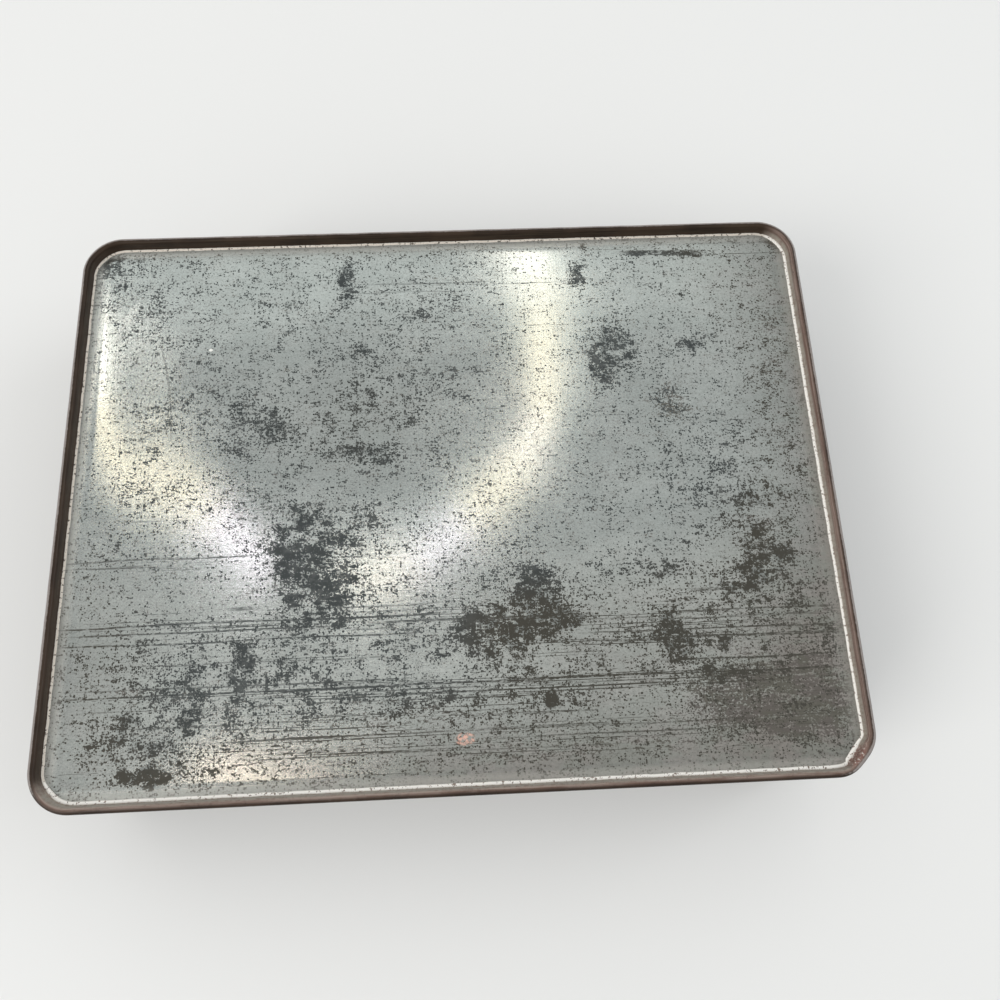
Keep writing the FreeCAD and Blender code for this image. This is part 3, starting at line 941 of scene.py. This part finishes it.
# Round dots, one in each cell, that are there when the cell's own number is below a chance.
cells = graph.node("ShaderNodeTexVoronoi", {"Vector": graph.place((0.62, 0.58, 1)), "Scale": 1},
                   voronoi_dimensions="2D")
drawn = graph.node("ShaderNodeSeparateColor", {0: graph.out(cells, "Color")})
chance = density * 0.72 + weave * 0.8 + (clouds + clumps) * 0.45 + 0.04
there = (chance - graph.out(drawn, 0)).step(-0.01, 0.01)
radius = graph.out(drawn, 1) * 0.34 + 0.32
dot = (graph.out(cells, "Distance") - radius).step(0.05, -0.06)
graph.feed(end, {"Mask": ragged_specks.larger(there * dot),
                 "Film": density.step(0.38, 0.84)})

# %% Group: rubbed lines
graph, (amount,), end = start_group("Rubbed lines", ["Amount"])
long_grain = graph.noise((75, 0.42, 1), 2, 0.55)
beads = graph.noise((2.4, 0.7, 1), 3, 0.7) - 0.5
total = long_grain + beads * 0.4
graph.feed(end, {"Mask": (total - (0.76 - amount * 0.2)).step(-0.015, 0.02)})

# %% Group: fine scratches in all directions, as a height
graph, (amount,), end = start_group("Fine scratches", ["Amount"], ["Height"])
hair_x = graph.noise((28, 0.16, 1), 1, 0.5)
hair_y = graph.noise((0.22, 14, 1), 1, 0.5)
grain = graph.noise((0.5, 0.5, 0.5), 2, 0.6)
graph.feed(end, {"Height": (hair_x + hair_y * 0.5 + grain * 0.5) * amount})

# %% [markdown]
# ### Marks with a place of their own
#
# A few marks stand alone: a line drawn by a grain of grit, or a bright nick. Each is a distance
# compared with a width. The two groups take a place on the sheet in millimetres, so that one group
# serves a score of strokes.

# %% Groups: one stroke and one spot
STROKE_INPUTS = ["Along", "Across", "Line", "From", "To", "Width", "Strength"]
graph, values, end = start_group("Stroke", STROKE_INPUTS)
onward, across, line, first, last, width, strength = values
core = (abs(across - line) / width).step(0.8, 0.42)
ends = (onward - first).step(-3, 5) * (last - onward).step(-3, 5)
graph.feed(end, {"Mask": core * ends * strength})

graph, values, end = start_group("Spot", ["X", "Y", "AtX", "AtY", "HalfX", "HalfY"])
x, y, at_x, at_y, half_x, half_y = values
sideways = (x - at_x) / half_x
upwards = (y - at_y) / half_y
apart = sideways * sideways + upwards * upwards
graph.feed(end, {"Mask": apart.step(1.35, 0.65)})

# %% [markdown]
# ### Bare tinplate
#
# Tin is a grey metal with a faint green cast. Worn spots are iron under a thin dark film. Colour,
# roughness and the metallic value follow the same mask, so a speck is dull as well as dark, and
# breaks the gleam.

# %% Long strokes and a curved scratch
# Each stroke: height on the sheet, from, to, width, strength.
STROKES = [
    (-20.3, -124, -64, 0.45, 0.75), (-22.2, -122, -96, 0.4, 0.6), (-21.9, -36, -28, 0.5, 0.8),
    (-37.1, -70, -62, 0.9, 0.95), (-37.6, -40, -4, 0.4, 0.6), (-39.4, -34, 12, 0.35, 0.5),
    (-41.2, -122, -2, 0.5, 0.95), (-43.6, -118, -38, 0.42, 0.9), (-43.2, -26, 28, 0.6, 0.8),
    (-46.8, -122, -12, 0.45, 0.95), (-44.8, 30, 66, 0.4, 0.6), (-36.7, 75, 99, 0.6, 0.85),
    (-43.4, 62, 121, 0.45, 0.85), (-45.7, 58, 116, 0.4, 0.7), (-49.3, 40, 119, 0.4, 0.8),
    (-51.8, 46, 121, 0.5, 0.95), (-53.6, -100, -20, 0.35, 0.6), (-58.2, 64, 119, 0.5, 0.95),
    (-60.2, -115, -30, 0.35, 0.6), (-62.4, -118, 118, 0.5, 1), (-64, -60, 96, 0.35, 0.6),
    (-66.8, -112, 20, 0.35, 0.55), (-71.8, -104, -30, 0.4, 0.6), (-76.6, -70, 92, 0.4, 0.7),
    (-79.2, 10, 96, 0.4, 0.65), (-82.3, -60, 50, 0.35, 0.5), (76, -26, 15, 0.4, 0.7),
    (72.6, -32, 4, 0.35, 0.5), (85.4, 63, 92, 1.6, 1),
]


def strokes_of(graph, x, y):
    """The curved scratch and all the strokes as one mask, broken into beads by a noise.

    Formula: the largest of them all, times a step of a fine noise. The scratch's line is a
    parabola, and the strokes' lines wander by about a millimetre.
    """
    below = 56 - y
    bowed = x + below * below * 0.0042 - below * 0.32
    mask = graph.use("Stroke", Along=y, Across=bowed, Line=-98, From=20, To=54, Width=0.6,
                     Strength=0.6)
    swayed = y + (graph.noise((40, 9, 9), 2, 0.5) - 0.5) * 2.4
    for level, start, end, width, strength in STROKES:
        mask = mask.larger(graph.use("Stroke", Along=x, Across=swayed, Line=level, From=start,
                                     To=end, Width=width, Strength=strength))
    beads = graph.noise((1.5, 0.6, 1), 3, 0.75)
    return mask * beads.step(0.4, 0.53, 0.25, 1)


print(len(STROKES), "strokes")

# %% Material: bare tinplate
# Linear colours. A pair is the two ends that a noise mixes.
CLEAN = (0.478, 0.51, 0.484), (0.545, 0.575, 0.545)
SCUFFED, HAZED, SANDED = (0.33, 0.352, 0.332), (0.4, 0.395, 0.375), (0.2, 0.205, 0.19)
AGED_AND_SHADED = (0.284, 0.262, 0.24), (0.262, 0.263, 0.234)
AGED_GRAIN = (0.165, 0.16, 0.142)
FILM_TONES = (0.092, 0.08, 0.07), (0.085, 0.079, 0.062)
FILM_SPECK, SLATE = (0.045, 0.042, 0.036), (0.11, 0.122, 0.12)
IRON = (0.036, 0.043, 0.043), (0.07, 0.078, 0.076)
# The edge colour is painted shade on the panel beside the rim.
BROWN_IRON, EDGE_PAINTED_SHADE = (0.044, 0.041, 0.031), (0.4, 0.39, 0.355)
NICK, BLUSH = (0.88, 0.88, 0.82), (0.74, 0.44, 0.35)

tin, shader = new_material("bare tinplate")
graph = Graph(tin.node_tree)
stain, film, tarnish_and_shade, bands, edge = graph.attributes(*PANEL_MARKS)
on_sheet = graph.node("ShaderNodeSeparateXYZ", {0: graph.place((1, 1, 1))})
x, y = graph.out(on_sheet, "X"), graph.out(on_sheet, "Y")
specks, thick = graph.use("Woven specks", Density=stain + 0.12)
lines = graph.use("Rubbed lines", Amount=bands)
dark = specks.larger(lines * 0.95).larger(strokes_of(graph, x, y))

cloud = graph.noise((26, 17, 20), 4, 0.6, 0.3)
tint = graph.noise((11, 6, 6), 3, 0.65)
haze = graph.noise((4, 3, 3), 4, 0.7)
dashes = graph.noise((15, 0.9, 1), 3, 0.65)
fine = graph.noise((1.3, 1.1, 1.5), 4, 0.75)
sand = graph.noise((0.62, 0.55, 0.6), 1, 0.5)

clean = cloud.step(0.35, 0.68).mix(*CLEAN)
clean = (fine.step(0.38, 0.66) * 0.34).mix(clean, SCUFFED)
clean = (haze.step(0.42, 0.7) * 0.22).mix(clean, HAZED)
# The tarnished tone is partly real tarnish and partly painted shade, darker towards the right side.
aged_and_shaded = tint.step(0.42, 0.58).mix(*AGED_AND_SHADED)
aged_and_shaded = (fine.step(0.36, 0.64) * 0.45).mix(aged_and_shaded, AGED_GRAIN)
clean = tarnish_and_shade.mix(clean, aged_and_shaded)
clean = (sand.step(0.42, 0.68) * 0.26).mix(clean, SANDED)

film_level = (fine + sand) * 0.5 + (haze - 0.5) * 0.4 + (dashes - 0.5) * 0.35 + film * 0.225
film_mask = film_level.step(0.6, 0.7) * 0.92
film_tone = tint.step(0.4, 0.6).mix(*FILM_TONES)
film_tone = (specks * 0.6).mix(film_tone, FILM_SPECK)
clean = film_mask.mix(clean, film_tone)
clean = (thick * haze.step(0.56, 0.44, 0, 0.55)).mix(clean, SLATE)

iron = haze.step(0.42, 0.64).mix(*IRON)
iron = tarnish_and_shade.step(0.02, 0.25).mix(iron, BROWN_IRON)
colour = dark.mix(clean, iron)
# A darker band on the panel beside the rim: painted shade where the wall shades the panel.
colour = (edge * 0.4).mix(colour, EDGE_PAINTED_SHADE)
nick = graph.use("Spot", X=x, Y=y, AtX=-80.5, AtY=52.5, HalfX=0.65, HalfY=0.5)
chip = graph.use("Spot", X=x - y * 0.45, Y=y, AtX=-138.8, AtY=67.5, HalfX=1.6, HalfY=4.5)
blush = graph.use("Spot", X=x, Y=y, AtX=2, AtY=-79, HalfX=2.9, HalfY=1.8)
blush = blush * fine.step(0.44, 0.6)
colour = nick.larger(chip * 0.22).mix(colour, NICK)
colour = blush.mix(colour, BLUSH)

dull = dark.larger(film_mask)
polish = cloud.step(0.3, 0.75, 0.11, 0.145)
hairs = graph.use("Fine scratches", Amount=1)
graph.feed(shader, {
    "Base Color": colour,
    "Roughness": polish + tarnish_and_shade * 0.14 + edge * 0.26 + dull * 0.13,
    "Metallic": 0.97 - dull.larger(nick.larger(blush)) * 0.55 - edge * 0.4,
    "Normal": graph.relief(hairs, 0.22, 0.025 * MM),
})
panel.data.materials.append(tin)
print("material:", tin.name, "with", len(tin.node_tree.nodes), "nodes")

# %% [markdown]
# ### Brown lacquer
#
# The outside of the sheet is a dark brown lacquer with a half gloss. It's rubbed down to a coppery
# brown where hands touch it, and to metal along the crest of the rim and the lid's edges, and it's
# gone from the spread cut edge. Part of it is painted light. The grey crest line is partly a painted
# highlight. The near inner wall and the pale band at the wall's foot are lightened against the wall's
# shade. The cut edge has a painted highlight along its middle and painted shade on either side.
# Numbers on the vertices steer that, and noise frays their limits.

# %% Material: brown lacquer, worn
PAINT = (0.02, 0.012, 0.0072), (0.037, 0.0225, 0.014)
STREAK, SCUFF, PIT = (0.056, 0.041, 0.025), (0.11, 0.085, 0.066), (0.014, 0.011, 0.009)
COPPER = (0.175, 0.113, 0.091), (0.3, 0.228, 0.196)
# The pale foot band is partly rubbed lacquer and partly painted light against the shade at the wall's
# foot.
FOOT_BAND_WEAR_AND_LIGHT, CRUSHED = (0.33, 0.305, 0.26), (0.178, 0.086, 0.07)
# The grey crest colour is partly worn lacquer and partly a painted highlight. The darker bare-toe
# colour is painted shade on the cut edge away from its lit middle.
CREST_WEAR_AND_HIGHLIGHT, TOE_PAINTED_SHADE = (0.27, 0.24, 0.225), (0.56, 0.53, 0.48)
CUT_EDGE = (0.72, 0.655, 0.57), (0.98, 0.96, 0.91)

lacquer, shader = new_material("brown lacquer")
graph = Graph(lacquer.node_tree)
crest, toe, crush, rub_and_painted_light, low, core, inside = graph.attributes(*RIM_MARKS)
fray = graph.noise((0.9, 0.9, 0.6), 4, 0.72)
ticks = graph.noise((1.1, 1.1, 4), 3, 0.75)
streaks = graph.noise((22, 22, 0.24), 3, 0.65)
broad = graph.noise((16, 16, 7), 3, 0.6)
pits = graph.noise((0.8, 0.8, 0.7), 3, 0.75).step(0.63, 0.67)
scuffs = graph.noise((5, 5, 0.5), 3, 0.6).step(0.66, 0.74)

paint = broad.step(0.35, 0.65).mix(*PAINT)
paint = (streaks.step(0.5, 0.66) * (inside * 0.7)).mix(paint, STREAK)
paint = (scuffs * (0.5 - inside * 0.5)).mix(paint, SCUFF)
copper = streaks.step(0.4, 0.62).mix(*COPPER)
# Coppery where rubbed. On the near inner wall this lightening is also painted light that lifts the
# wall's shade.
paint = (rub_and_painted_light * (fray + broad * 0.6).step(0.56, 0.8, 0.7, 1)).mix(paint, copper)
# Pale foot band: rubbed lacquer, lightened further as painted light over the shade at the wall's foot.
paint = (low * 0.9 * ticks.step(0.34, 0.58, 0.38, 1)).mix(paint, FOOT_BAND_WEAR_AND_LIGHT)
paint = (crush.step(0.1, 0.8) * 0.8).mix(paint, CRUSHED)
paint = (pits * 0.5).mix(paint, PIT)
# The grey crest line: partly worn lacquer, partly a painted highlight, kept off the near side as
# painted shade.
crest_wear_and_highlight = (crest * 0.85 + (fray - 0.5) * 0.8 + (broad - 0.5) * 0.6).step(0.22, 0.6)
paint = (crest_wear_and_highlight * 0.9).mix(paint, CREST_WEAR_AND_HIGHLIGHT)

bare_toe = toe * ticks.step(0.36, 0.46) + (fray - 0.5) * (crush * 1.6 + 0.6)
flecks = crush.step(0.35, 0.75) * fray.step(0.55, 0.61)
metal_share = bare_toe.step(0.4, 0.66).larger(flecks)
# The cut edge is brighter where the rub mark is high, mostly on the near and right sides.
bright = rub_and_painted_light.step(0.1, 0.4).mix(*CUT_EDGE)
# Along its middle the cut edge takes the bright colour as a painted highlight. Elsewhere on the bare
# toe a darker colour stands for painted shade.
bright = core.mix(TOE_PAINTED_SHADE, bright)
hairs = graph.use("Fine scratches", Amount=0.6)
graph.feed(shader, {
    "Base Color": metal_share.mix(paint, bright),
    "Metallic": metal_share * 0.22,
    "Roughness": fray.step(0.3, 0.7, 0.32, 0.46),
    "Specular IOR Level": 0.17,
    "Normal": graph.relief(hairs + streaks * (inside * 0.8 - toe * 0.8), 0.35, 0.06 * MM),
})
walls.data.materials.append(lacquer)
lid.data.materials.append(lacquer)
print("material:", lacquer.name, "with", len(lacquer.node_tree.nodes), "nodes")

# %% [markdown]
# ## Last measurements
#
# The finished pieces' box is measured and printed. The finished pieces must stay within the box of
# the imported model.

# %% Measure the finished pieces' box and finish
low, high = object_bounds()
print("the finished pieces' box in metres:", tuple(low), tuple(high))
